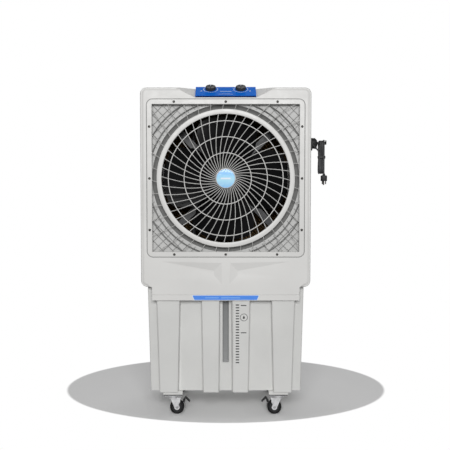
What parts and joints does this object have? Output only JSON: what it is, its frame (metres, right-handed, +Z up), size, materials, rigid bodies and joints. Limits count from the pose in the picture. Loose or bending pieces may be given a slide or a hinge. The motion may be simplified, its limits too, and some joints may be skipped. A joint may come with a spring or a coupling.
{
  "type": "evaporative cooler",
  "caption": "Evaporative air cooler: tall fan cabinet with a spiral grille and wetted pads, standing on a ribbed water tank with swivel casters and a tied mains lead.",
  "frame": {"origin": "on the floor under the middle of the cooler, its cord left out", "axes": "+Z up; the grille faces -Y; +X is to the right as seen from the front, on the side of the mains lead"},
  "size_m": [0.7961, 0.54, 1.4385],
  "materials": {
    "cabinet_plastic": "fine matt moulded ABS",
    "tank_plastic": "fine matt moulded ABS",
    "grille_plastic": "fine matt moulded ABS",
    "shroud_plastic": "matt moulded ABS",
    "inner_plastic": "plain moulded plastic",
    "blue_panel": "glossy blue",
    "label_blue": "glossy blue film",
    "badge_blue": "glossy, light blue and white",
    "knob_black": "semi-gloss black",
    "black_plastic": "matt black",
    "fan_black": "semi-gloss black",
    "dark_screw": "blackened",
    "steel": "ground",
    "zinc": "bright zinc plated",
    "motor_paint": "semi-gloss dark grey",
    "pad_cellulose": "fluted cellulose, brown",
    "hose_rubber": "matt",
    "pump_blue": "matt blue",
    "float_orange": "matt orange",
    "window_clear": "smoked clear",
    "mark_dark": "printed",
    "pad_rubber": "matt",
    "wheel_black": "black moulded tread",
    "cord_grey": "dark grey PVC sheath",
    "brass_pin": "turned, bright"
  },
  "bodies": {
    "housing": {"front_panel": "cabinet_plastic", "top_cover": "cabinet_plastic", "base_deck": "cabinet_plastic", "rear_pillars": "cabinet_plastic", "control_panel": "blue_panel", "rotary_switches": "black_plastic", "grille": "grille_plastic", "grille_badge": "badge_blue", "grille_screws": "dark_screw", "fan_shroud": "shroud_plastic", "motor_body": "motor_paint", "motor_bracket": "zinc", "bracket_bolts": "zinc", "left_louvre": "cabinet_plastic", "right_louvre": "cabinet_plastic", "rear_louvre": "cabinet_plastic", "left_pad": "pad_cellulose", "right_pad": "pad_cellulose", "rear_pad": "pad_cellulose", "water_distributor": "inner_plastic", "supply_hose": "hose_rubber", "pump_body": "pump_blue", "pump_strainer": "black_plastic", "float_valve": "inner_plastic", "water_tank": "tank_plastic", "level_window": "window_clear", "level_marks": "mark_dark", "label_strip": "label_blue", "caster_pads": "pad_rubber", "caster_plates": "zinc", "caster_bolts": "zinc", "cord_cleat": "black_plastic", "cord_lead": "cord_grey", "cord_hank": "cord_grey", "cord_tail": "cord_grey", "cord_tie": "black_plastic", "plug_body": "black_plastic", "plug_pins": "brass_pin"},
    "fan": {"fan_rotor": "fan_black", "fan_shaft": "steel"},
    "speed_knob": {"speed_knob": "knob_black"},
    "pump_knob": {"pump_knob": "knob_black"},
    "float_arm": {"float_arm": "float_orange"},
    "drain_cap": {"drain_cap": "black_plastic"},
    "front_left_caster": {"front_left_fork": "zinc", "front_left_axle": "zinc"},
    "front_right_caster": {"front_right_fork": "zinc", "front_right_axle": "zinc"},
    "rear_left_caster": {"rear_left_fork": "zinc", "rear_left_axle": "zinc"},
    "rear_right_caster": {"rear_right_fork": "zinc", "rear_right_axle": "zinc"},
    "front_left_wheel": {"front_left_wheel": "wheel_black"},
    "front_right_wheel": {"front_right_wheel": "wheel_black"},
    "rear_left_wheel": {"rear_left_wheel": "wheel_black"},
    "rear_right_wheel": {"rear_right_wheel": "wheel_black"},
    "left_pedal": {"left_brake_pedal": "black_plastic"},
    "right_pedal": {"right_brake_pedal": "black_plastic"}
  },
  "joints": [
    {"name": "fan_spin", "type": "hinge", "parent": "housing", "child": "fan", "pos_m": [0, -0.174, 1.035], "axis": [0, 1, 0], "continuous": true},
    {"name": "speed_knob_turn", "type": "hinge", "parent": "housing", "child": "speed_knob", "pos_m": [-0.0645, -0.20252, 1.4159], "axis": [0, -0.4985, 0.8669], "range_deg": [-135, 0]},
    {"name": "pump_knob_turn", "type": "hinge", "parent": "housing", "child": "pump_knob", "pos_m": [0.0645, -0.20252, 1.4159], "axis": [0, -0.4985, 0.8669], "range_deg": [-135, 0]},
    {"name": "float_arm_swing", "type": "hinge", "parent": "housing", "child": "float_arm", "pos_m": [0.12, 0.18, 0.49], "axis": [-1, 0, 0], "range_deg": [0, 50]},
    {"name": "drain_cap_turn", "type": "hinge", "parent": "housing", "child": "drain_cap", "pos_m": [0.18, 0.244, 0.144], "axis": [0, 1, 0], "continuous": true},
    {"name": "front_left_swivel", "type": "hinge", "parent": "housing", "child": "front_left_caster", "pos_m": [-0.23, -0.18, 0.074], "axis": [0, 0, 1], "continuous": true},
    {"name": "front_left_roll", "type": "hinge", "parent": "front_left_caster", "child": "front_left_wheel", "pos_m": [-0.214, -0.18, 0.0315], "axis": [0, 1, 0], "continuous": true},
    {"name": "rear_left_swivel", "type": "hinge", "parent": "housing", "child": "rear_left_caster", "pos_m": [-0.23, 0.192, 0.074], "axis": [0, 0, 1], "continuous": true},
    {"name": "rear_left_roll", "type": "hinge", "parent": "rear_left_caster", "child": "rear_left_wheel", "pos_m": [-0.214, 0.192, 0.0315], "axis": [0, 1, 0], "continuous": true},
    {"name": "front_right_swivel", "type": "hinge", "parent": "housing", "child": "front_right_caster", "pos_m": [0.23, -0.18, 0.074], "axis": [0, 0, 1], "continuous": true},
    {"name": "front_right_roll", "type": "hinge", "parent": "front_right_caster", "child": "front_right_wheel", "pos_m": [0.214, -0.18, 0.0315], "axis": [0, 1, 0], "continuous": true},
    {"name": "rear_right_swivel", "type": "hinge", "parent": "housing", "child": "rear_right_caster", "pos_m": [0.23, 0.192, 0.074], "axis": [0, 0, 1], "continuous": true},
    {"name": "rear_right_roll", "type": "hinge", "parent": "rear_right_caster", "child": "rear_right_wheel", "pos_m": [0.214, 0.192, 0.0315], "axis": [0, 1, 0], "continuous": true},
    {"name": "left_brake_press", "type": "hinge", "parent": "front_left_caster", "child": "left_pedal", "pos_m": [-0.184, -0.18, 0.0585], "axis": [0, 1, 0], "range_deg": [0, 14]},
    {"name": "right_brake_press", "type": "hinge", "parent": "front_right_caster", "child": "right_pedal", "pos_m": [0.184, -0.18, 0.0585], "axis": [0, -1, 0], "range_deg": [0, 14]}
  ]
}
